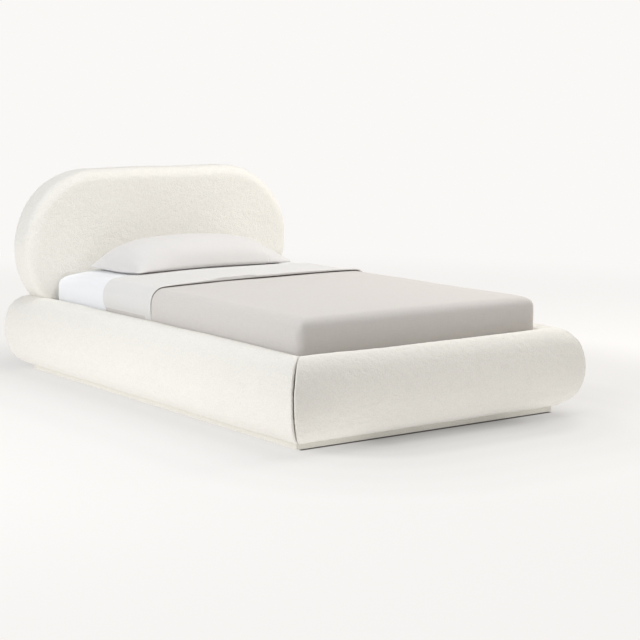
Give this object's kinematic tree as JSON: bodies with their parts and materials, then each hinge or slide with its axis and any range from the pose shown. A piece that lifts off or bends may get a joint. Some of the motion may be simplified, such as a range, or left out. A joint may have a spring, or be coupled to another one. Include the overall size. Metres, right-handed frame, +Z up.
{
  "type": "upholstered bed",
  "caption": "Low padded bed with round-sided rails on a recessed plinth, a pill-shaped padded headboard, slats, a mattress, sheets, a coverlet and a pillow.",
  "frame": {"origin": "on the floor, below the middle of the whole bed", "axes": "+X across the bed to the right as seen from the foot, +Y along the bed from foot to headboard, +Z up"},
  "size_m": [1.5038, 2.436, 0.955],
  "materials": {
    "boucle": "matte",
    "plinth_fabric": "matte",
    "foam": "matte",
    "plywood": "matte",
    "pine": "matte",
    "slat_wood": "satin",
    "webbing": "matte",
    "felt": "matte",
    "black_steel": "satin",
    "zinc_steel": "satin",
    "black_plastic": "matte",
    "ticking": "matte",
    "white_cotton": "matte",
    "grey_cotton": "matte",
    "greige_linen": "matte",
    "filling": "matte",
    "pillow_cotton": "matte"
  },
  "bodies": {
    "bed_frame": {"foot_rail_board": "plywood", "foot_rail_foam": "foam", "foot_rail_cover": "boucle", "foot_plinth_batten": "pine", "foot_plinth_cover": "plinth_fabric", "head_rail_board": "plywood", "head_rail_foam": "foam", "head_rail_cover": "boucle", "head_plinth_batten": "pine", "head_plinth_cover": "plinth_fabric", "left_rail_board": "plywood", "left_rail_foam": "foam", "left_rail_cover": "boucle", "left_plinth_batten": "pine", "left_plinth_cover": "plinth_fabric", "right_rail_board": "plywood", "right_rail_foam": "foam", "right_rail_cover": "boucle", "right_plinth_batten": "pine", "right_plinth_cover": "plinth_fabric", "floor_glides": "felt", "plinth_screws": "zinc_steel", "corner_brackets": "black_steel", "corner_bolts": "zinc_steel", "left_ledger": "pine", "right_ledger": "pine", "ledger_screws": "zinc_steel", "centre_beam": "pine", "beam_hangers": "black_steel", "hanger_screws": "zinc_steel", "support_posts": "pine", "levelling_feet": "black_plastic", "headboard_board": "plywood", "headboard_foam": "foam", "headboard_cover": "boucle", "headboard_spacers": "pine", "headboard_bolts": "zinc_steel"},
    "slat_base": {"slat_01": "slat_wood", "slat_02": "slat_wood", "slat_03": "slat_wood", "slat_04": "slat_wood", "slat_05": "slat_wood", "slat_06": "slat_wood", "slat_07": "slat_wood", "slat_08": "slat_wood", "slat_09": "slat_wood", "slat_10": "slat_wood", "slat_11": "slat_wood", "slat_12": "slat_wood", "slat_13": "slat_wood", "slat_14": "slat_wood", "left_slat_strap": "webbing", "right_slat_strap": "webbing"},
    "mattress": {"mattress_core": "foam", "mattress_ticking": "ticking", "fitted_sheet": "white_cotton"},
    "bedding": {"flat_sheet": "grey_cotton", "coverlet": "greige_linen"},
    "pillow": {"pillow_insert": "filling", "pillowcase": "pillow_cotton"}
  },
  "joints": [
    {"name": "slat_base_lift", "type": "slide", "parent": "bed_frame", "child": "slat_base", "axis": [0, 0, 1], "range_m": [0, 0.13]},
    {"name": "mattress_lift", "type": "slide", "parent": "slat_base", "child": "mattress", "axis": [0, 0, 1], "range_m": [0, 0.25]},
    {"name": "bedding_lift", "type": "slide", "parent": "mattress", "child": "bedding", "axis": [0, 0, 1], "range_m": [0, 0.23]},
    {"name": "pillow_lift", "type": "slide", "parent": "bedding", "child": "pillow", "axis": [0, 0, 1], "range_m": [0, 0.2]}
  ]
}
